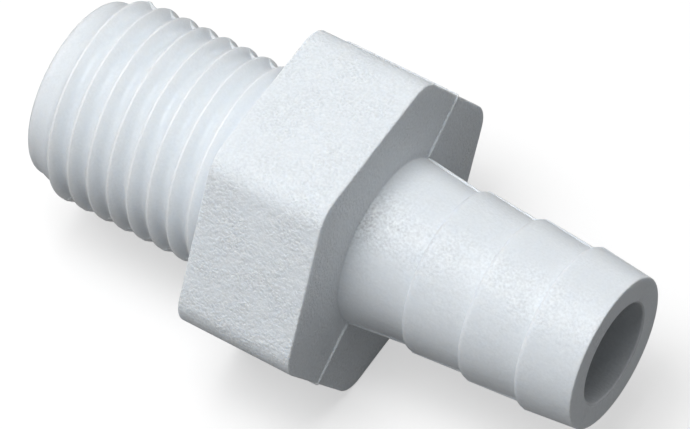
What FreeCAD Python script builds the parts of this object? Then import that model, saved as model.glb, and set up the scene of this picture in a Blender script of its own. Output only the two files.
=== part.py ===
import FreeCAD, Part
import math
import os

os.makedirs("parts", exist_ok=True)

# Wrench hexagon
hex_across_flats = 18.6
hex_length = 7.7
hex_corner_radius = 2.15
hex_edge_bevel = 0.15

# Threaded end: one helical ridge on a plain root, 18 turns to the inch
thread_pitch = 25.4 / 18
thread_crest_radius = 6.44
thread_depth = 0.52
thread_flank_angle = 30.0
thread_crest_width = 0.16
thread_foot_sunk = 0.08
threaded_end_length = 14.1

# Where the ridge begins behind the end face, and the crest that fixes its turn about the axis
ridge_start_gap = 1.3
known_crest_angle = 28.0
known_crest_station = -16.97

# Plain nose in front of the ridge
nose_radius = 5.64
nose_length = 0.6
nose_bevel = 0.3

# Neck and barbs
neck_base_radius = 5.24
neck_end_radius = 4.76
neck_length = 3.7
barb_count = 3
barb_pitch = 3.8
barb_crest_radius = 5.14
barb_root_radius = 4.76
barb_crest_bevel = 0.1
last_barb_length = 4.15
tip_radius = 4.8
tip_bevel = 0.12

# Flow bore right through
bore_radius = 3.175
bore_edge_bevel = 0.15

# The axis is drawn along Z: the hexagon's barb side is at zero, the barbs above it, the thread below
z_axis = FreeCAD.Vector(0, 0, 1)
hex_back = -hex_length
thread_end = hex_back - threaded_end_length
tip = neck_length + (barb_count - 1) * barb_pitch + last_barb_length
thread_root_radius = thread_crest_radius - thread_depth
inside_hex = hex_back / 2


def point(radius, station):
    return FreeCAD.Vector(radius, 0, station)


def closed_outline(points):
    return Part.makePolygon([point(r, z) for r, z in points + points[:1]])


def revolve(points):
    """Solid of revolution about the axis, from its outline's radii and stations."""
    return Part.Face(closed_outline(points)).revolve(FreeCAD.Vector(), z_axis, 360)


def rounded_hexagon():
    """Face across the axis, with a flat towards +X and round corners."""
    corner_distance = (hex_across_flats / 2 - hex_corner_radius) / math.cos(math.pi / 6)
    arcs = []
    for corner in range(6):
        middle = math.pi / 6 + corner * math.pi / 3
        centre = FreeCAD.Vector(math.cos(middle), math.sin(middle), 0) * corner_distance
        on_arc = []
        for angle in (middle - math.pi / 6, middle, middle + math.pi / 6):
            on_arc.append(centre + FreeCAD.Vector(math.cos(angle), math.sin(angle), 0) * hex_corner_radius)
        arcs.append(Part.Arc(*on_arc).toShape())
    edges = []
    for arc, following in zip(arcs, arcs[1:] + arcs[:1]):
        edges.append(arc)
        edges.append(Part.makeLine(arc.lastVertex().Point, following.firstVertex().Point))
    return Part.Face(Part.Wire(edges))


def make_hexagon():
    prism = rounded_hexagon().extrude(z_axis * hex_length)
    prism.translate(z_axis * hex_back)
    rims = [edge for edge in prism.Edges if edge.BoundBox.ZLength < 1e-6]
    return prism.makeChamfer(hex_edge_bevel, rims)


def stem_outline():
    """Radii and stations of the neck and barbs: each barb is a small ledge and a long taper."""
    outline = [(neck_base_radius, 0), (neck_end_radius, neck_length)]
    for barb in range(barb_count):
        ledge = neck_length + barb * barb_pitch
        outline.append((barb_crest_radius - barb_crest_bevel, ledge))
        outline.append((barb_crest_radius, ledge + barb_crest_bevel))
        if barb < barb_count - 1:
            outline.append((barb_root_radius, ledge + barb_pitch))
    outline.append((tip_radius, tip - tip_bevel))
    outline.append((tip_radius - tip_bevel, tip))
    return outline


def make_stem():
    inner = [(0, inside_hex), (neck_base_radius, inside_hex)]
    return revolve(inner + stem_outline() + [(0, tip)])


def make_thread_core():
    """Nose and root of the threaded end, under the ridge."""
    return revolve([
        (0, thread_end),
        (nose_radius - nose_bevel, thread_end),
        (nose_radius, thread_end + nose_bevel),
        (nose_radius, thread_end + nose_length),
        (thread_root_radius, thread_end + nose_length + thread_root_radius - nose_radius),
        (thread_root_radius, inside_hex),
        (0, inside_hex),
    ])


def make_ridge():
    """Helical ridge from near the nose into the hexagon, with its foot just under the root."""
    foot = thread_root_radius - thread_foot_sunk
    half_crest = thread_crest_width / 2
    half_foot = half_crest + (thread_crest_radius - foot) * math.tan(math.radians(thread_flank_angle))
    outline = closed_outline([
        (foot, -half_foot),
        (thread_crest_radius, -half_crest),
        (thread_crest_radius, half_crest),
        (foot, half_foot),
    ])
    start = thread_end + ridge_start_gap
    length = hex_back + half_foot - start
    helix = Part.makeHelix(thread_pitch, length, thread_crest_radius)
    ridge = Part.Wire(helix.Edges).makePipeShell([outline], True, True)
    ridge.translate(z_axis * start)
    turn = known_crest_angle + 360 * (start - known_crest_station) / thread_pitch
    ridge.rotate(FreeCAD.Vector(), z_axis, turn)
    return ridge


def make_bore():
    """Straight bore with a small bevel at each end."""
    flare = bore_radius + bore_edge_bevel
    return revolve([
        (0, thread_end - bore_edge_bevel),
        (flare + bore_edge_bevel, thread_end - bore_edge_bevel),
        (bore_radius, thread_end + bore_edge_bevel),
        (bore_radius, tip - bore_edge_bevel),
        (flare + bore_edge_bevel, tip + bore_edge_bevel),
        (0, tip + bore_edge_bevel),
    ])


def make_adapter():
    body = make_thread_core().fuse(make_ridge())
    body = body.fuse([make_hexagon(), make_stem()])
    return body.cut(make_bore())


def lay_down(shape):
    """Barbs towards +X, on one flat of the hexagon, with the middle of the length over the origin."""
    middle = (tip + thread_end) / 2
    placed = FreeCAD.Matrix(
        0, 0, 1, -middle,
        0, -1, 0, 0,
        1, 0, 0, hex_across_flats / 2,
        0, 0, 0, 1,
    )
    return shape.transformShape(placed)


adapter = lay_down(make_adapter())
adapter.exportStep("parts/hose_barb_adapter.step")
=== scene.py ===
"""One-piece moulded hose barb adapter, laid on a pale floor under soft studio light."""

import math
from collections import namedtuple

import bmesh
import bpy
from mathutils import Matrix, Vector


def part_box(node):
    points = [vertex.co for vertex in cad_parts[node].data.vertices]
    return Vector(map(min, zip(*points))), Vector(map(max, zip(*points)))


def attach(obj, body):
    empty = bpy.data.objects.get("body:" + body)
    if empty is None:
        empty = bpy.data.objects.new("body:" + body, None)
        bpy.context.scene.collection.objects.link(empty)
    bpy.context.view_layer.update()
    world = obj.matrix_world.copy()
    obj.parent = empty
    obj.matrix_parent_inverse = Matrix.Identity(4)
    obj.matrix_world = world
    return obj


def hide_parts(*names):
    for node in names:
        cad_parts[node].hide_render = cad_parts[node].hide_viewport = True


bl_info = {
    "name": "Hose barb adapter",
    "version": (1, 0, 0),
    "blender": (4, 5, 0),
    "location": "3D View > Sidebar > Adapter",
    "description": "Builds the moulded adapter as one skin, with its thread and mould line, and its studio",
    "category": "Object",
}

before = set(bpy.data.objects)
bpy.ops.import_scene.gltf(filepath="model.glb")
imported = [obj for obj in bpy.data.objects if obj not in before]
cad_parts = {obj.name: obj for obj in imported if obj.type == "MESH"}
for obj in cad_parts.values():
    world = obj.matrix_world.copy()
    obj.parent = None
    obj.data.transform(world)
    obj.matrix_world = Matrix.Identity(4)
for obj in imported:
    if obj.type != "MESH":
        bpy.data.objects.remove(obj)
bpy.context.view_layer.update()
NODE = "hose_barb_adapter"
CAD_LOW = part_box(NODE)[0]
MM = 0.001

# Zones of the skin, in the order of its materials
HEXAGON, STEM, THREAD, BORE = range(4)

# Steps in which each round of an outline is drawn
ROUND_STEPS = 6

# Angle that one side of the hexagon takes round the bore
SIDE_ANGLE = math.radians(60)

# Points of the skin that are nearer to one another than this are joined
JOIN_DISTANCE = 0.001 * MM

# Section of the mould line: places across it and heights, as shares of its width and height
MOULD_LINE_SECTION = ((-0.5, 0), (-0.4, 0.85), (-0.15, 1), (0.15, 1), (0.4, 0.85), (0.5, 0))

# Column of points from end to end of the adapter: the hexagon's side that it is on, the way it faces,
# its place along the flat, from -1 to less than 1, or 1 on the corner's round, and its place across
# the mould line and height there
Column = namedtuple("Column", "side facing along across height")


class AdapterSizes(bpy.types.PropertyGroup):
    hex_across_flats: bpy.props.FloatProperty(
        name="Across flats", description="Width of the wrench hexagon between two opposite flats",
        default=18.6 * MM, unit="LENGTH", subtype="DISTANCE")
    hex_length: bpy.props.FloatProperty(
        name="Hexagon length", description="Length of the hexagon along the bore",
        default=7.7 * MM, unit="LENGTH", subtype="DISTANCE")
    hex_corner_radius: bpy.props.FloatProperty(
        name="Corner radius", description="Radius of the hexagon's six long corners",
        default=2.15 * MM, unit="LENGTH", subtype="DISTANCE")
    hex_edge_round: bpy.props.FloatProperty(
        name="Edge round", description="Radius of the round between the flats and the end faces",
        default=0.1 * MM, unit="LENGTH", subtype="DISTANCE")
    thread_pitch: bpy.props.FloatProperty(
        name="Thread pitch", description="Advance of the thread's ridge in one turn",
        default=25.4 / 18 * MM, unit="LENGTH", subtype="DISTANCE")
    thread_crest_radius: bpy.props.FloatProperty(
        name="Thread crest", description="Radius to the top of the thread's ridge",
        default=6.44 * MM, unit="LENGTH", subtype="DISTANCE")
    thread_depth: bpy.props.FloatProperty(
        name="Thread depth", description="Height of the ridge above the thread's root",
        default=0.52 * MM, unit="LENGTH", subtype="DISTANCE")
    thread_crest_width: bpy.props.FloatProperty(
        name="Crest width", description="Width of the ridge's narrow top",
        default=0.12 * MM, unit="LENGTH", subtype="DISTANCE")
    thread_valley_power: bpy.props.FloatProperty(
        name="Valley shape", description="1 for straight flanks, 2 for a round valley between the turns",
        default=2.0, min=1.0)
    known_crest_angle: bpy.props.FloatProperty(
        name="Crest angle", description="Angle round the bore at which the ridge passes the crest station",
        default=math.radians(28), unit="ROTATION", subtype="ANGLE")
    known_crest_station: bpy.props.FloatProperty(
        name="Crest station", description="Station along the bore at which the ridge passes the crest angle",
        default=-16.97 * MM, unit="LENGTH", subtype="DISTANCE")
    threaded_end_length: bpy.props.FloatProperty(
        name="Threaded end", description="Length from the hexagon to the end of the threaded side",
        default=14.1 * MM, unit="LENGTH", subtype="DISTANCE")
    nose_radius: bpy.props.FloatProperty(
        name="Nose", description="Radius of the plain band at the end of the thread",
        default=5.64 * MM, unit="LENGTH", subtype="DISTANCE")
    nose_length: bpy.props.FloatProperty(
        name="Nose length", description="Length of the plain band at the end of the thread",
        default=0.6 * MM, unit="LENGTH", subtype="DISTANCE")
    nose_round: bpy.props.FloatProperty(
        name="Nose round", description="Radius of the round at the end of the nose",
        default=0.4 * MM, unit="LENGTH", subtype="DISTANCE")
    run_in_length: bpy.props.FloatProperty(
        name="Run-in", description="Length behind the nose over which the ridge grows to full height",
        default=1.8 * MM, unit="LENGTH", subtype="DISTANCE")
    nose_slope_length: bpy.props.FloatProperty(
        name="Nose slope", description="Length behind the nose over which the root grows to its full radius",
        default=1.0 * MM, unit="LENGTH", subtype="DISTANCE")
    neck_surround: bpy.props.FloatProperty(
        name="Neck surround", description="Width of the flat ring of the hexagon's face round the neck",
        default=0.5 * MM, unit="LENGTH", subtype="DISTANCE")
    neck_fillet: bpy.props.FloatProperty(
        name="Neck fillet", description="Radius of the fillet between the hexagon and the neck",
        default=0.1 * MM, unit="LENGTH", subtype="DISTANCE")
    neck_base_radius: bpy.props.FloatProperty(
        name="Neck base", description="Radius of the neck where it leaves the hexagon",
        default=5.24 * MM, unit="LENGTH", subtype="DISTANCE")
    neck_end_radius: bpy.props.FloatProperty(
        name="Neck end", description="Radius of the neck at the first barb",
        default=4.76 * MM, unit="LENGTH", subtype="DISTANCE")
    neck_length: bpy.props.FloatProperty(
        name="Neck length", description="Length from the hexagon to the first barb",
        default=4.2 * MM, unit="LENGTH", subtype="DISTANCE")
    barb_count: bpy.props.IntProperty(
        name="Barbs", description="Number of barbs on the hose side", default=3, min=1)
    barb_pitch: bpy.props.FloatProperty(
        name="Barb pitch", description="Distance from one barb's ledge to the next",
        default=3.8 * MM, unit="LENGTH", subtype="DISTANCE")
    barb_crest_radius: bpy.props.FloatProperty(
        name="Barb crest", description="Largest radius of each barb",
        default=5.14 * MM, unit="LENGTH", subtype="DISTANCE")
    barb_root_radius: bpy.props.FloatProperty(
        name="Barb root", description="Smallest radius of each barb's taper",
        default=4.76 * MM, unit="LENGTH", subtype="DISTANCE")
    barb_root_fillet: bpy.props.FloatProperty(
        name="Barb root fillet", description="Radius of the fillet at the foot of each barb's ledge",
        default=0.06 * MM, unit="LENGTH", subtype="DISTANCE")
    barb_crest_round: bpy.props.FloatProperty(
        name="Barb crest round", description="Radius of the round at each barb's edge",
        default=0.28 * MM, unit="LENGTH", subtype="DISTANCE")
    last_barb_length: bpy.props.FloatProperty(
        name="Last barb", description="Length of the barb that ends at the open end",
        default=3.65 * MM, unit="LENGTH", subtype="DISTANCE")
    tip_radius: bpy.props.FloatProperty(
        name="Tip", description="Outer radius at the hose side's open end",
        default=4.8 * MM, unit="LENGTH", subtype="DISTANCE")
    tip_round: bpy.props.FloatProperty(
        name="Tip round", description="Radius of the round at the open end's outer edge",
        default=0.08 * MM, unit="LENGTH", subtype="DISTANCE")
    bore_radius: bpy.props.FloatProperty(
        name="Bore", description="Radius of the straight flow bore",
        default=3.175 * MM, unit="LENGTH", subtype="DISTANCE")
    bore_edge_round: bpy.props.FloatProperty(
        name="Bore edge round", description="Radius of the round at the bore's two mouths",
        default=0.12 * MM, unit="LENGTH", subtype="DISTANCE")
    mould_line_side: bpy.props.IntProperty(
        name="Mould line side", description="Flat that the raised line crosses, counted from the upper one",
        default=2, min=0, max=5)
    mould_line_width: bpy.props.FloatProperty(
        name="Mould line width", description="Width of the raised line",
        default=0.3 * MM, unit="LENGTH", subtype="DISTANCE")
    mould_line_height: bpy.props.FloatProperty(
        name="Mould line height", description="Height of the raised line above the surface",
        default=0.13 * MM, unit="LENGTH", subtype="DISTANCE")
    thread_line_width: bpy.props.FloatProperty(
        name="Line width on thread", description="Width of the raised line across the thread",
        default=0.45 * MM, unit="LENGTH", subtype="DISTANCE")
    mould_line_on_hexagon: bpy.props.FloatProperty(
        name="Line on hexagon", description="Share of the raised line's width and height on the hexagon",
        default=0.7, min=0.0)
    mould_line_on_barb: bpy.props.FloatProperty(
        name="Line on barb crests", description="Share of the raised line's height at a barb's crest",
        default=0.4, min=0.0)
    mould_line_on_crest: bpy.props.FloatProperty(
        name="Line on crests", description="Share of the raised line's height on the thread's crests",
        default=0.12, min=0.0, max=1.0, subtype="FACTOR")
    mould_line_in_valley: bpy.props.FloatProperty(
        name="Line in valleys", description="Share of the raised line's height in the thread's valleys",
        default=1.7, min=0.0)


class PlasticFinish(bpy.types.PropertyGroup):
    colour: bpy.props.FloatVectorProperty(
        name="Colour", description="Colour of the moulded plastic",
        default=(0.78, 0.82, 0.857), size=3, min=0.0, max=1.0, subtype="COLOR")
    roughness: bpy.props.FloatProperty(
        name="Roughness", description="Roughness of the stem and the bore",
        default=0.45, min=0.0, max=1.0, subtype="FACTOR")
    hexagon_roughness: bpy.props.FloatProperty(
        name="Hexagon roughness", description="Roughness of the hexagon's faces",
        default=0.52, min=0.0, max=1.0, subtype="FACTOR")
    thread_roughness: bpy.props.FloatProperty(
        name="Thread roughness", description="Roughness of the smoother threaded end",
        default=0.38, min=0.0, max=1.0, subtype="FACTOR")
    ripple_gloss: bpy.props.FloatProperty(
        name="Ripple gloss", description="How much less rough the plastic is in the ripples' hollows",
        default=0.05, min=0.0, max=1.0, subtype="FACTOR")
    ripple_dullness: bpy.props.FloatProperty(
        name="Ripple dullness", description="How much rougher the plastic is on the ripples' tops",
        default=0.07, min=0.0, max=1.0, subtype="FACTOR")
    light_spread: bpy.props.FloatProperty(
        name="Light spread", description="Distance that light travels under the surface of the plastic",
        default=0.25 * MM, unit="LENGTH", subtype="DISTANCE")
    thread_light_spread: bpy.props.FloatProperty(
        name="Thread light spread", description="Distance that light travels under the thread's surface",
        default=1.3 * MM, unit="LENGTH", subtype="DISTANCE")
    grain_size: bpy.props.FloatProperty(
        name="Grain size", description="Size of the mould's fine grain",
        default=0.16 * MM, unit="LENGTH", subtype="DISTANCE")
    grain_depth: bpy.props.FloatProperty(
        name="Grain depth", description="Depth of the mould's fine grain",
        default=0.05 * MM, unit="LENGTH", subtype="DISTANCE")
    # Painted shade and light: the grain's height also tints the colour, darker in its pits and lighter on
    # its tops, as the grain's own shading would show
    grain_painted_shading: bpy.props.FloatProperty(
        name="Grain tone", description="How much darker the plastic looks in the grain's pits",
        default=0.55, min=0.0)
    thin_grain: bpy.props.FloatProperty(
        name="Thin grain", description="Share of the grain's strength that is left between its patches",
        default=0.5, min=0.0, max=1.0, subtype="FACTOR")
    ripple_size: bpy.props.FloatProperty(
        name="Ripple size", description="Size of the faint ripples under the grain",
        default=0.48 * MM, unit="LENGTH", subtype="DISTANCE")
    ripple_depth: bpy.props.FloatProperty(
        name="Ripple depth", description="Depth of the faint ripples",
        default=0.08 * MM, unit="LENGTH", subtype="DISTANCE")
    ripple_strength: bpy.props.FloatProperty(
        name="Ripple strength", description="Share in which the ripples tilt the surface",
        default=0.8, min=0.0, max=1.0, subtype="FACTOR")
    swell_size: bpy.props.FloatProperty(
        name="Swell size", description="Size of the broad unevenness, and of the grain's patches",
        default=1.6 * MM, unit="LENGTH", subtype="DISTANCE")
    swell_depth: bpy.props.FloatProperty(
        name="Swell depth", description="Depth of the broad unevenness",
        default=0.06 * MM, unit="LENGTH", subtype="DISTANCE")
    swell_strength: bpy.props.FloatProperty(
        name="Swell strength", description="Share in which the broad unevenness tilts the surface",
        default=0.35, min=0.0, max=1.0, subtype="FACTOR")
    cloud_size: bpy.props.FloatProperty(
        name="Cloud size", description="Size of the plastic's slight clouds of tone",
        default=4.8 * MM, unit="LENGTH", subtype="DISTANCE")
    cloud_dark: bpy.props.FloatProperty(
        name="Cloud dark", description="Tone of the darkest clouds", default=0.975, min=0.0)
    cloud_light: bpy.props.FloatProperty(
        name="Cloud light", description="Tone of the lightest clouds", default=1.015, min=0.0)
    # Grain and painted sparkle side: the band round the neck and barbs where the main lamp's highlight
    # falls. The grain's bump is deepest there, and its painted shade and painted sparkle in the colour are
    # strongest, standing in for the highlight's glitter; the roughness is the same there as elsewhere
    grain_sparkle_side: bpy.props.FloatProperty(
        name="Rough side", description="Angle round the bore at which the neck and the barbs are roughest",
        default=math.radians(19), unit="ROTATION", subtype="ANGLE")
    grain_sparkle_width: bpy.props.FloatProperty(
        name="Rough side width", description="Angle to each side over which the roughest grain fades",
        default=math.radians(26), unit="ROTATION", subtype="ANGLE")
    # Strengths of the grain's bump and of its painted shade and sparkle in that band, on the neck and on the
    # barbs
    neck_grain: bpy.props.FloatProperty(
        name="Neck grain", description="Strength of the rough side's grain on the neck beside the hexagon",
        default=3.0, min=0.0)
    barb_grain: bpy.props.FloatProperty(
        name="Barb grain", description="Strength of the rough side's grain on the barbs",
        default=1.2, min=0.0)
    neck_grain_length: bpy.props.FloatProperty(
        name="Neck grain length", description="Length of the neck over which its deeper grain fades",
        default=3.4 * MM, unit="LENGTH", subtype="DISTANCE")


class StudioSettings(bpy.types.PropertyGroup):
    lens: bpy.props.FloatProperty(
        name="Lens", description="Focal length of the camera on a 36 mm sensor",
        default=281.74, subtype="DISTANCE_CAMERA")
    bore_lean: bpy.props.FloatProperty(
        name="Bore lean", description="Angle by which the barbs point out of the picture",
        default=math.radians(21.245), unit="ROTATION", subtype="ANGLE")
    bore_swing: bpy.props.FloatProperty(
        name="Bore swing", description="Angle by which the barbs point down in the picture",
        default=math.radians(26.606), unit="ROTATION", subtype="ANGLE")
    bore_roll: bpy.props.FloatProperty(
        name="Bore roll", description="Turn of the adapter about its bore, as the camera sees it",
        default=math.radians(-28.222), unit="ROTATION", subtype="ANGLE")
    face_in_view: bpy.props.FloatVectorProperty(
        name="Face in view", description="Middle of the hexagon's face at the neck, in the camera's axes",
        default=(2.469 * MM, -1.478 * MM, -313.04 * MM), size=3, unit="LENGTH", subtype="TRANSLATION")
    floor_colour: bpy.props.FloatVectorProperty(
        name="Floor colour", description="Colour of the floor as the camera sees it",
        default=(0.55, 0.55, 0.55), size=3, min=0.0, max=1.0, subtype="COLOR")
    floor_glow: bpy.props.FloatProperty(
        name="Floor glow", description="Light that the floor shows to the camera alone, to look white",
        default=0.5, min=0.0)
    floor_bounce: bpy.props.FloatVectorProperty(
        name="Floor bounce", description="Colour of the light that the floor throws back on the adapter",
        default=(0.2, 0.2, 0.2), size=3, min=0.0, max=1.0, subtype="COLOR")
    room_light: bpy.props.FloatProperty(
        name="Room light", description="Strength of the even light from all round", default=0.26, min=0.0)
    overhead: bpy.props.FloatProperty(
        name="Overhead lamp", description="Irradiance of the lamp straight above", default=0.68, min=0.0)
    main_lamp: bpy.props.FloatProperty(
        name="Main lamp", description="Irradiance of the high lamp in front, on the thread's side",
        default=1.78, min=0.0)
    low_lamp_elevation: bpy.props.FloatProperty(
        name="Low lamps' elevation", description="Angle of the three low lamps above the floor",
        default=math.radians(12), unit="ROTATION", subtype="ANGLE")
    low_back: bpy.props.FloatProperty(
        name="Low back lamp", description="Irradiance of the low lamp behind", default=0.53, min=0.0)
    low_nose_side: bpy.props.FloatProperty(
        name="Low nose lamp", description="Irradiance of the low lamp beyond the thread",
        default=0.24, min=0.0)
    low_front_left: bpy.props.FloatProperty(
        name="Low front lamp", description="Irradiance of the low lamp in front, on the thread's side",
        default=0.43, min=0.0)


def nose_end(sizes):
    """Station of the threaded side's open end. Stations count from the hexagon's face at the neck."""
    return -sizes.hex_length - sizes.threaded_end_length


def ledge_station(sizes, barb):
    """Station of a barb's ledge. Barb 0 is the one next to the neck."""
    return sizes.neck_length + barb * sizes.barb_pitch


def place(sizes, radius, angle, station):
    """Point of the row frame at a radius and an angle round the bore, and a station along it."""
    return Vector((
        CAD_LOW[0] + station - nose_end(sizes),
        -radius * math.sin(angle),
        radius * math.cos(angle) + sizes.hex_across_flats / 2,
    ))


def rounded(corners):
    """Outline through corners of (radius, station, round), as one list of points for each corner."""
    arcs = [[Vector(corners[0][:2])]]
    for before, corner, after in zip(corners, corners[1:], corners[2:]):
        here = Vector(corner[:2])
        back = (Vector(before[:2]) - here).normalized()
        on = (Vector(after[:2]) - here).normalized()
        half = back.angle(on) / 2
        reach = corner[2] / math.tan(half)
        centre = here + (back + on).normalized() * corner[2] / math.sin(half)
        start = here + back * reach - centre
        sweep = start.angle_signed(here + on * reach - centre)
        turns = [Matrix.Rotation(-sweep * step / ROUND_STEPS, 2) for step in range(ROUND_STEPS + 1)]
        arcs.append([centre + turn @ start for turn in turns])
    arcs.append([Vector(corners[-1][:2])])
    return arcs


def finish_mesh(name, bm, materials, sharp_angle=math.radians(50), evenness=80):
    """Smooth object from a bmesh, with sharp edges kept and normals that follow the larger faces."""
    bmesh.ops.recalc_face_normals(bm, faces=bm.faces)
    for edge in bm.edges:
        edge.smooth = edge.calc_face_angle(0) < sharp_angle
    mesh = bpy.data.meshes.new(name)
    bm.to_mesh(mesh)
    bm.free()
    for material in materials:
        mesh.materials.append(material)
    piece = bpy.data.objects.new(name, mesh)
    bpy.context.scene.collection.objects.link(piece)
    weighted = piece.modifiers.new("Even shading", "WEIGHTED_NORMAL")
    weighted.mode = "FACE_AREA"
    weighted.weight = evenness
    weighted.keep_sharp = True
    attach(piece, "root")
    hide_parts(NODE)


def band(bm, row, following, zone):
    """Faces between one closed ring of points and the next, with their material zone."""
    for column, corner in enumerate(row):
        face = bm.faces.new((corner, row[column - 1], following[column - 1], following[column]))
        face.material_index = zone


def hexagon_columns(sizes, per_flat=22, per_corner=12):
    """Columns of points round the adapter. The mould line crosses one flat and the one opposite."""
    columns = []
    for side in range(6):
        facing = side * SIDE_ANGLE
        for step in range(per_flat):
            along = 2 * step / per_flat - 1
            if along == 0 and side % 3 == sizes.mould_line_side % 3:
                columns.extend(Column(side, facing, along, *spot) for spot in MOULD_LINE_SECTION)
            else:
                columns.append(Column(side, facing, along, 0, 0))
        for step in range(per_corner):
            columns.append(Column(side, facing + SIDE_ANGLE * step / per_corner, 1, 0, 0))
    return columns


def hexagon_point(sizes, column, inset):
    """Point across the bore on the hexagon's contour, or inside it by the inset."""
    half_width = sizes.hex_across_flats / 2
    corner_centre = half_width - sizes.hex_corner_radius
    normal = Vector((math.cos(column.facing), math.sin(column.facing)))
    if column.along < 1:
        tangent = Vector((-normal.y, normal.x))
        line_width = sizes.mould_line_width * sizes.mould_line_on_hexagon
        reach = column.along * corner_centre * math.tan(SIDE_ANGLE / 2) + column.across * line_width
        return normal * (half_width - inset) + tangent * reach
    middle = (column.side + 0.5) * SIDE_ANGLE
    centre = Vector((math.cos(middle), math.sin(middle))) * corner_centre / math.cos(SIDE_ANGLE / 2)
    return centre + normal * (sizes.hex_corner_radius - inset)


def hexagon_ring(sizes, columns, inset, station, lift):
    """Ring of points on the hexagon's contour, with the mould line lifted out and along."""
    ring = []
    for column in columns:
        raised = column.height * sizes.mould_line_height * sizes.mould_line_on_hexagon
        spot = hexagon_point(sizes, column, inset - lift[0] * raised)
        ring.append(place(sizes, spot.length, math.atan2(spot.y, spot.x), station + lift[1] * raised))
    return ring


def column_turn(sizes, column, radius, line_width):
    """Angle round the bore of a column of points at a radius, with the mould line's width there."""
    spot = hexagon_point(sizes, column._replace(across=0), 0)
    return math.atan2(spot.y, spot.x) + column.across * line_width / radius


def round_ring(sizes, columns, spot, lift=(0, 0)):
    """Ring of points at one radius and station, with the mould line lifted out and along."""
    radius, station = spot
    ring = []
    for column in columns:
        raised = column.height * sizes.mould_line_height
        turn = column_turn(sizes, column, radius, sizes.mould_line_width)
        ring.append(place(sizes, radius + lift[0] * raised, turn, station + lift[1] * raised))
    return ring


def eased(share):
    """Smooth step from 0 to 1."""
    share = min(max(share, 0.0), 1.0)
    return share * share * (3 - 2 * share)


def crest_station(sizes, turn, number):
    """Station at which the numbered turn of the ridge passes an angle round the bore."""
    return sizes.known_crest_station + sizes.thread_pitch * (
        (turn - sizes.known_crest_angle) / math.tau + number)


def thread_radius(sizes, turn, station):
    """Radius of the threaded end: nose, growing root, and the ridge with round valleys between turns."""
    behind_nose = nose_end(sizes) + sizes.nose_length
    root = sizes.thread_crest_radius - sizes.thread_depth
    growth = eased((station - behind_nose) / sizes.nose_slope_length)
    core = sizes.nose_radius + (root - sizes.nose_radius) * growth
    number = round((station - crest_station(sizes, turn, 0)) / sizes.thread_pitch)
    crest = crest_station(sizes, turn, number)
    half_crest = sizes.thread_crest_width / 2
    away = max(abs(station - crest) - half_crest, 0) / (sizes.thread_pitch / 2 - half_crest)
    height = sizes.thread_depth * (1 - away) ** sizes.thread_valley_power
    return core + height * eased((crest - behind_nose) / sizes.run_in_length)


def nose_outline(sizes):
    """Radii and stations from inside the bore and round the nose to the end of its plain band."""
    end = nose_end(sizes)
    return rounded([
        (sizes.bore_radius, 0, 0),
        (sizes.bore_radius, end, sizes.bore_edge_round),
        (sizes.nose_radius, end, sizes.nose_round),
        (sizes.nose_radius, end + sizes.nose_length, 0),
    ])


def stem_outline(sizes):
    """Radii and stations of the neck, the barbs, the open end and back into the bore."""
    corners = [
        (sizes.neck_base_radius + sizes.neck_surround, 0, 0),
        (sizes.neck_base_radius, 0, sizes.neck_fillet),
        (sizes.neck_end_radius, sizes.neck_length, sizes.barb_root_fillet),
    ]
    for barb in range(sizes.barb_count):
        ledge = ledge_station(sizes, barb)
        if barb:
            corners.append((sizes.barb_root_radius, ledge, sizes.barb_root_fillet))
        corners.append((sizes.barb_crest_radius, ledge, sizes.barb_crest_round))
    tip = ledge_station(sizes, sizes.barb_count - 1) + sizes.last_barb_length
    corners.append((sizes.tip_radius, tip, sizes.tip_round))
    corners.append((sizes.bore_radius, tip, sizes.bore_edge_round))
    corners.append((sizes.bore_radius, 0, 0))
    return rounded(corners)


def barb_line_share(sizes, radius, station):
    """Share of the mould line's height on the barbs: full at roots, low at crests and on the last."""
    if station >= ledge_station(sizes, sizes.barb_count - 1):
        return sizes.mould_line_on_barb
    low = (sizes.barb_crest_radius - radius) / (sizes.barb_crest_radius - sizes.barb_root_radius)
    return sizes.mould_line_on_barb + (1 - sizes.mould_line_on_barb) * min(low, 1)


def hexagon_bands(sizes):
    """Inset, station and outward direction of the hexagon's contours, from its back face to its front."""
    edge = sizes.hex_edge_round
    bands = []
    for station, facing in ((-sizes.hex_length, 1), (0, -1)):
        arc = []
        for step in range(ROUND_STEPS + 1):
            turn = math.pi / 2 * step / ROUND_STEPS
            inset = edge * (1 - math.sin(turn))
            out = (math.sin(turn), -facing * math.cos(turn))
            arc.append((inset, station + facing * edge * (1 - math.cos(turn)), out))
        bands.extend(arc if facing > 0 else reversed(arc))
    return bands


def studio_lamp(name, irradiance, azimuth, elevation, distance=0.6, size=0.3):
    """Square area lamp that lights the adapter from a direction, turned from the barbs' side."""
    data = bpy.data.lights.new(name, "AREA")
    data.shape = "SQUARE"
    data.size = size
    data.energy = irradiance * math.pi * distance ** 2
    lamp = bpy.data.objects.new(name, data)
    level = math.cos(elevation)
    towards = Vector((level * math.cos(azimuth), level * math.sin(azimuth), math.sin(elevation)))
    middle = Vector((0, 0, 9 * MM))
    lamp.location = middle + towards * distance
    lamp.rotation_euler = towards.to_track_quat("Z", "Y").to_euler()
    bpy.context.scene.collection.objects.link(lamp)


def noise(tree, where, size, detail):
    """Noise of a feature size, in the mesh's own place."""
    texture = tree.nodes.new("ShaderNodeTexNoise")
    texture.inputs["Scale"].default_value = 1 / size
    texture.inputs["Detail"].default_value = detail
    tree.links.new(where.outputs["Object"], texture.inputs["Vector"])
    return texture.outputs["Fac"]


def spread(tree, value, low, high, start=0.35, end=0.65):
    """A value's range, or else a noise's middle range, spread between two other values."""
    ranged = tree.nodes.new("ShaderNodeMapRange")
    ranged.inputs["From Min"].default_value = start
    ranged.inputs["From Max"].default_value = end
    ranged.inputs["To Min"].default_value = low
    ranged.inputs["To Max"].default_value = high
    tree.links.new(value, ranged.inputs["Value"])
    return ranged.outputs["Result"]


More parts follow.
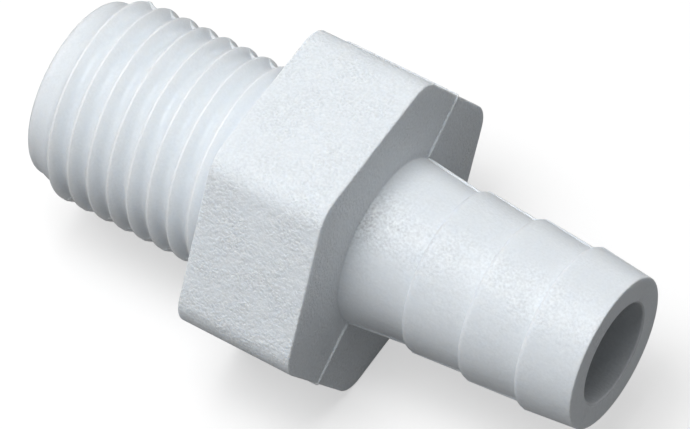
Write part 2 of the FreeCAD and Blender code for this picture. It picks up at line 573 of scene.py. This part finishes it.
def relief(tree, height, depth, strength, under=None):
    """Bump of a depth, laid over another bump."""
    bump = tree.nodes.new("ShaderNodeBump")
    bump.inputs["Distance"].default_value = depth
    bump.inputs["Strength"].default_value = strength
    tree.links.new(height, bump.inputs["Height"])
    if under is not None:
        tree.links.new(under, bump.inputs["Normal"])
    return bump.outputs["Normal"]


def calculate(tree, operation, *values):
    """Result of one operation on sockets and numbers."""
    node = tree.nodes.new("ShaderNodeMath")
    node.operation = operation
    for socket, value in zip(node.inputs, values):
        if isinstance(value, float):
            socket.default_value = value
        else:
            tree.links.new(value, socket)
    return node.outputs["Value"]


def grain_sparkle_strength(tree, where, finish, elsewhere):
    """Strength of the stem's grain, in bump and in painted shade and sparkle: most on the neck where the
    main lamp's highlight falls, less on the barbs there, least elsewhere.
    """
    sizes = bpy.context.scene.adapter_sizes
    face = place(sizes, 0, 0, 0)
    spot = tree.nodes.new("ShaderNodeSeparateXYZ")
    tree.links.new(where.outputs["Object"], spot.inputs["Vector"])
    sideways = calculate(tree, "MULTIPLY", spot.outputs["Y"], -1.0)
    upward = calculate(tree, "SUBTRACT", spot.outputs["Z"], face.z)
    turn = calculate(tree, "ARCTAN2", sideways, upward)
    away = calculate(tree, "ABSOLUTE", calculate(tree, "SUBTRACT", turn, finish.grain_sparkle_side))
    near = spread(tree, away, 1.0, 0.0, start=0.0, end=finish.grain_sparkle_width)
    strongest = spread(
        tree, spot.outputs["X"], finish.neck_grain, finish.barb_grain,
        start=face.x, end=face.x + finish.neck_grain_length)
    extra = calculate(tree, "SUBTRACT", strongest, elsewhere)
    return calculate(tree, "MULTIPLY_ADD", near, extra, elsewhere)


def moulded_plastic(
        name, light_spread, roughness, grain, tone=1.0, ripple=1.0, painted_shade=1.0, grain_sparkle_side=False):
    """White plastic that light enters: mould grain in patches over faint ripples, in a cloudy tone, with
    painted shade in the grain's pits and painted light on its tops.
    """
    finish = bpy.context.scene.adapter_finish
    material = bpy.data.materials.new(name)
    material.use_nodes = True
    tree = material.node_tree
    shader = tree.nodes["Principled BSDF"]
    shader.inputs["IOR"].default_value = 1.5
    shader.inputs["Subsurface Weight"].default_value = 1.0
    shader.inputs["Subsurface Radius"].default_value = (1.0, 0.95, 0.9)
    shader.inputs["Subsurface Scale"].default_value = light_spread
    where = tree.nodes.new("ShaderNodeTexCoord")
    # On the stem the grain and its painted shade and sparkle follow the band of the main lamp's highlight
    strength = grain_sparkle_strength(tree, where, finish, grain) if grain_sparkle_side else grain
    fine = noise(tree, where, finish.grain_size, detail=2.0)
    ripples = noise(tree, where, finish.ripple_size, detail=1.5)
    swells = noise(tree, where, finish.swell_size, detail=1.0)
    clouds = noise(tree, where, finish.cloud_size, detail=3.0)
    noise_middle = 0.5
    patches = calculate(tree, "MULTIPLY", spread(tree, swells, finish.thin_grain, 1.0), strength)
    # The grain is also laid into the colour: painted shade in its pits and painted light on its tops, scaled
    # by the grain's painted shading and the zone's tone
    grained = calculate(tree, "MULTIPLY", calculate(tree, "SUBTRACT", fine, noise_middle), patches)
    clouded = spread(tree, clouds, finish.cloud_dark, finish.cloud_light, start=0.0, end=1.0)
    brightness = calculate(tree, "MULTIPLY_ADD", grained, finish.grain_painted_shading * tone, clouded)
    tint = tree.nodes.new("ShaderNodeVectorMath")
    tint.operation = "SCALE"
    # The shade factor darkens a zone's colour: painted shade, used to darken the inside of the bore
    tint.inputs["Vector"].default_value = [part * painted_shade for part in finish.colour]
    tree.links.new(brightness, tint.inputs["Scale"])
    tree.links.new(tint.outputs["Vector"], shader.inputs["Base Color"])
    dullness = spread(tree, ripples, roughness - finish.ripple_gloss, roughness + finish.ripple_dullness)
    tree.links.new(dullness, shader.inputs["Roughness"])
    surface = relief(tree, swells, finish.swell_depth, finish.swell_strength * ripple)
    surface = relief(tree, ripples, finish.ripple_depth, finish.ripple_strength * ripple, surface)
    surface = relief(tree, grained, finish.grain_depth, 1.0, surface)
    tree.links.new(surface, shader.inputs["Normal"])
    return material


def zone_plastics():
    """The adapter's one plastic as each of its zones shows it, in the order of the zones; the bore's copy is
    darkened with painted shade.
    """
    finish = bpy.context.scene.adapter_finish
    return [
        # tone scales the painted shade and light that the grain lays into the colour; the hexagon shows less
        # of it
        moulded_plastic(
            "plastic_hexagon", finish.light_spread, finish.hexagon_roughness, grain=2.2, tone=0.35),
        moulded_plastic(
            "plastic_stem", finish.light_spread, finish.roughness, grain=0.35, ripple=0.5, grain_sparkle_side=True),
        moulded_plastic(
            "plastic_thread", finish.thread_light_spread, finish.thread_roughness, grain=0.3, ripple=0.3),
        # Painted shade: the bore's colour is darkened to 0.74 of the plastic's, for the dark inside of the
        # bore
        moulded_plastic(
            "plastic_bore", finish.light_spread, finish.roughness, grain=0.5, ripple=0.5, painted_shade=0.74),
    ]


class ADAPTER_OT_body(bpy.types.Operator):
    """Build the adapter's one closed skin: bore, nose, thread, hexagon, neck, barbs and mould line"""
    bl_idname = "adapter.body"
    bl_label = "Moulded body"

    def execute(self, context):
        sizes = context.scene.adapter_sizes
        columns = hexagon_columns(sizes)
        bm = bmesh.new()
        rings = self.nose_rings(sizes, columns)
        rings.append((self.thread_ring(sizes, columns, -sizes.hex_length), HEXAGON))
        for inset, station, lift in hexagon_bands(sizes):
            rings.append((hexagon_ring(sizes, columns, inset, station, lift), HEXAGON))
        rings.extend(self.stem_rings(sizes, columns))
        rows = [[bm.verts.new(spot) for spot in ring] for ring, zone in rings]
        for number, (ring, zone) in enumerate(rings):
            if zone is not None:
                band(bm, rows[number], rows[(number + 1) % len(rows)], zone)
        self.add_thread(bm, sizes, columns)
        bmesh.ops.remove_doubles(bm, verts=bm.verts, dist=JOIN_DISTANCE)
        finish_mesh("adapter_body", bm, zone_plastics())
        return {"FINISHED"}

    def nose_rings(self, sizes, columns):
        """Rings from the bore round the nose, each with the zone up to the next, or None at the thread."""
        inside, mouth, edge, end = nose_outline(sizes)
        # The mouth's round looks like the bore up to its middle and like the nose beyond it
        half = ROUND_STEPS // 2
        rings = [(round_ring(sizes, columns, spot), BORE) for spot in inside + mouth[:half]]
        rings += [(round_ring(sizes, columns, spot), THREAD) for spot in mouth[half:] + edge]
        rings.append((self.thread_ring(sizes, columns, end[0].y), None))
        return rings

    def stem_rings(self, sizes, columns):
        """Rings of the neck, the barbs and the open end, each with the zone up to the next."""
        face, fillet, *barbs, tip, mouth, inside = stem_outline(sizes)
        rings = [(round_ring(sizes, columns, face[0], (0, 1)), HEXAGON)]
        for step, spot in enumerate(fillet):
            slope = math.pi / 2 * step / ROUND_STEPS
            rings.append((round_ring(sizes, columns, spot, (math.sin(slope), math.cos(slope))), STEM))
        for arc in barbs:
            for spot in arc:
                rings.append((round_ring(sizes, columns, spot, (barb_line_share(sizes, *spot), 0)), STEM))
        rings += [(round_ring(sizes, columns, spot), STEM) for spot in tip]
        rings += [(round_ring(sizes, columns, spot), BORE) for spot in mouth]
        return rings

    def thread_spot(self, sizes, column, station):
        """Point on the threaded end's surface, on the mould line's ridge where the column has one."""
        turn = column_turn(sizes, column, sizes.thread_crest_radius, sizes.thread_line_width)
        run_in = eased((station - nose_end(sizes) - sizes.nose_length) / sizes.nose_slope_length)
        radius = thread_radius(sizes, turn, station)
        top = min(max(1 - (sizes.thread_crest_radius - radius) / sizes.thread_depth, 0.0), 1.0)
        share = sizes.mould_line_in_valley + (sizes.mould_line_on_crest - sizes.mould_line_in_valley) * top
        raised = column.height * sizes.mould_line_height * run_in * share
        return place(sizes, radius + raised, turn, station)

    def thread_ring(self, sizes, columns, station):
        """Ring of points round the threaded end at one station."""
        return [self.thread_spot(sizes, column, station) for column in columns]

    def add_thread(self, bm, sizes, columns, valley_steps=12, crowding=1.4):
        """Skin that follows the ridge, each turn sharing its edge with the next, cut flat at both ends."""
        start = nose_outline(sizes)[-1][0].y
        # Section of one turn from valley to valley in shares of the pitch, its points closest at the crest
        half_crest = sizes.thread_crest_width / 2 / sizes.thread_pitch
        valley = []
        for step in range(1, valley_steps):
            valley.append(half_crest + (0.5 - half_crest) * (step / valley_steps) ** crowding)
        section = [-share for share in reversed(valley)] + [-half_crest, 0, half_crest] + valley + [0.5]
        # The turns reach past both ends at every angle, and what is outside is drawn flat onto the ends
        first = math.floor((start - crest_station(sizes, 0, 0)) / sizes.thread_pitch) - 2
        last = math.ceil((-sizes.hex_length - crest_station(sizes, 0, 0)) / sizes.thread_pitch) + 1
        lines = []
        for column in columns:
            turn = column_turn(sizes, column, sizes.thread_crest_radius, sizes.thread_line_width) % math.tau
            line = []
            for number in range(first, last + 1):
                for share in section:
                    station = crest_station(sizes, turn, number) + share * sizes.thread_pitch
                    station = min(max(station, start), -sizes.hex_length)
                    line.append(bm.verts.new(self.thread_spot(sizes, column, station)))
            lines.append((turn, line))
        lines.sort(key=lambda entry: entry[0])
        lines = [line for turn, line in lines]
        for line, following in zip(lines, lines[1:] + [lines[0][len(section):]]):
            for step in range(min(len(line), len(following)) - 1):
                face = bm.faces.new((line[step], line[step + 1], following[step + 1], following[step]))
                face.material_index = THREAD


class ADAPTER_OT_studio(bpy.types.Operator):
    """Lay the pale floor and set the soft lamps and the camera"""
    bl_idname = "adapter.studio"
    bl_label = "Studio"

    def execute(self, context):
        studio = context.scene.adapter_studio
        self.lay_floor(context, studio)
        self.light_room(context, studio)
        self.set_camera(context, studio)
        context.scene.view_settings.view_transform = "Standard"
        return {"FINISHED"}

    def lay_floor(self, context, studio):
        """Matt floor that looks white to the camera and throws little light back on the adapter."""
        mesh = bpy.data.meshes.new("studio_floor")
        half_side = 1.5
        corners = [(x * half_side, y * half_side, 0) for x, y in ((-1, -1), (1, -1), (1, 1), (-1, 1))]
        mesh.from_pydata(corners, [], [(0, 1, 2, 3)])
        floor = bpy.data.objects.new("studio_floor", mesh)
        material = bpy.data.materials.new("studio_floor")
        material.use_nodes = True
        tree = material.node_tree
        shader = tree.nodes["Principled BSDF"]
        shader.inputs["Roughness"].default_value = 0.9
        shader.inputs["Specular IOR Level"].default_value = 0.0
        to_camera = tree.nodes.new("ShaderNodeLightPath").outputs["Is Camera Ray"]
        colour = tree.nodes.new("ShaderNodeMix")
        colour.data_type = "RGBA"
        colour.inputs["A"].default_value = (*studio.floor_bounce, 1)
        colour.inputs["B"].default_value = (*studio.floor_colour, 1)
        tree.links.new(to_camera, colour.inputs["Factor"])
        tree.links.new(colour.outputs["Result"], shader.inputs["Base Color"])
        shader.inputs["Emission Color"].default_value = (1, 1, 1, 1)
        glow = calculate(tree, "MULTIPLY", to_camera, studio.floor_glow)
        tree.links.new(glow, shader.inputs["Emission Strength"])
        mesh.materials.append(material)
        context.scene.collection.objects.link(floor)

    def light_room(self, context, studio):
        """Even light from all round, white behind the floor's edge, and five soft lamps."""
        world = bpy.data.worlds.new("studio_room")
        world.use_nodes = True
        tree = world.node_tree
        to_camera = tree.nodes.new("ShaderNodeLightPath").outputs["Is Camera Ray"]
        background = tree.nodes["Background"]
        background.inputs["Color"].default_value = (1, 1, 1, 1)
        strength = spread(tree, to_camera, studio.room_light, 1.0, start=0.0, end=1.0)
        tree.links.new(strength, background.inputs["Strength"])
        context.scene.world = world
        low = studio.low_lamp_elevation
        studio_lamp("overhead_lamp", studio.overhead, azimuth=0, elevation=math.radians(90))
        studio_lamp(
            "main_lamp", studio.main_lamp, azimuth=math.radians(240), elevation=math.radians(75),
            distance=0.2, size=0.1)
        studio_lamp("low_back_lamp", studio.low_back, azimuth=math.radians(90), elevation=low)
        studio_lamp("low_nose_lamp", studio.low_nose_side, azimuth=math.radians(180), elevation=low)
        studio_lamp("low_front_lamp", studio.low_front_left, azimuth=math.radians(225), elevation=low)

    def set_camera(self, context, studio):
        """Camera that sees the bore lean, swing and roll as the settings say."""
        lean, swing, roll = studio.bore_lean, studio.bore_swing, studio.bore_roll
        bore_axis = Vector((
            math.cos(lean) * math.cos(swing), -math.cos(lean) * math.sin(swing), math.sin(lean)))
        to_camera = Vector((0, 0, 1))
        near = (to_camera - bore_axis * bore_axis.z).normalized()
        beside = bore_axis.cross(near)
        up = near * math.cos(roll) + beside * math.sin(roll)
        across = near * math.sin(roll) - beside * math.cos(roll)
        to_row = Matrix((bore_axis, across, up))
        face = place(context.scene.adapter_sizes, 0, 0, 0)
        data = bpy.data.cameras.new("studio_camera")
        data.sensor_width = 36
        data.lens = studio.lens
        data.clip_start = 0.01
        camera = bpy.data.objects.new("studio_camera", data)
        eye = face - to_row @ Vector(studio.face_in_view)
        camera.matrix_world = Matrix.Translation(eye) @ to_row.to_4x4()
        context.scene.collection.objects.link(camera)
        context.scene.camera = camera


class ADAPTER_PT_panel(bpy.types.Panel):
    """Lists the adapter's sizes, finish and studio, and the steps that build them"""
    bl_idname = "ADAPTER_PT_panel"
    bl_label = "Hose barb adapter"
    bl_space_type = "VIEW_3D"
    bl_region_type = "UI"
    bl_category = "Adapter"

    def draw(self, context):
        scene = context.scene
        for settings in (scene.adapter_sizes, scene.adapter_finish, scene.adapter_studio):
            box = self.layout.box()
            for name in settings.__annotations__:
                box.prop(settings, name)
        for operator in STEPS:
            self.layout.operator(operator.bl_idname)


STEPS = (ADAPTER_OT_body, ADAPTER_OT_studio)
CLASSES = (AdapterSizes, PlasticFinish, StudioSettings, *STEPS, ADAPTER_PT_panel)


def register():
    for cls in CLASSES:
        bpy.utils.register_class(cls)
    bpy.types.Scene.adapter_sizes = bpy.props.PointerProperty(type=AdapterSizes)
    bpy.types.Scene.adapter_finish = bpy.props.PointerProperty(type=PlasticFinish)
    bpy.types.Scene.adapter_studio = bpy.props.PointerProperty(type=StudioSettings)


def unregister():
    del bpy.types.Scene.adapter_studio
    del bpy.types.Scene.adapter_finish
    del bpy.types.Scene.adapter_sizes
    for cls in reversed(CLASSES):
        bpy.utils.unregister_class(cls)


def main():
    register()
    bpy.ops.adapter.body()
    bpy.ops.adapter.studio()
    bpy.context.view_layer.update()


if __name__ == "__main__":
    main()
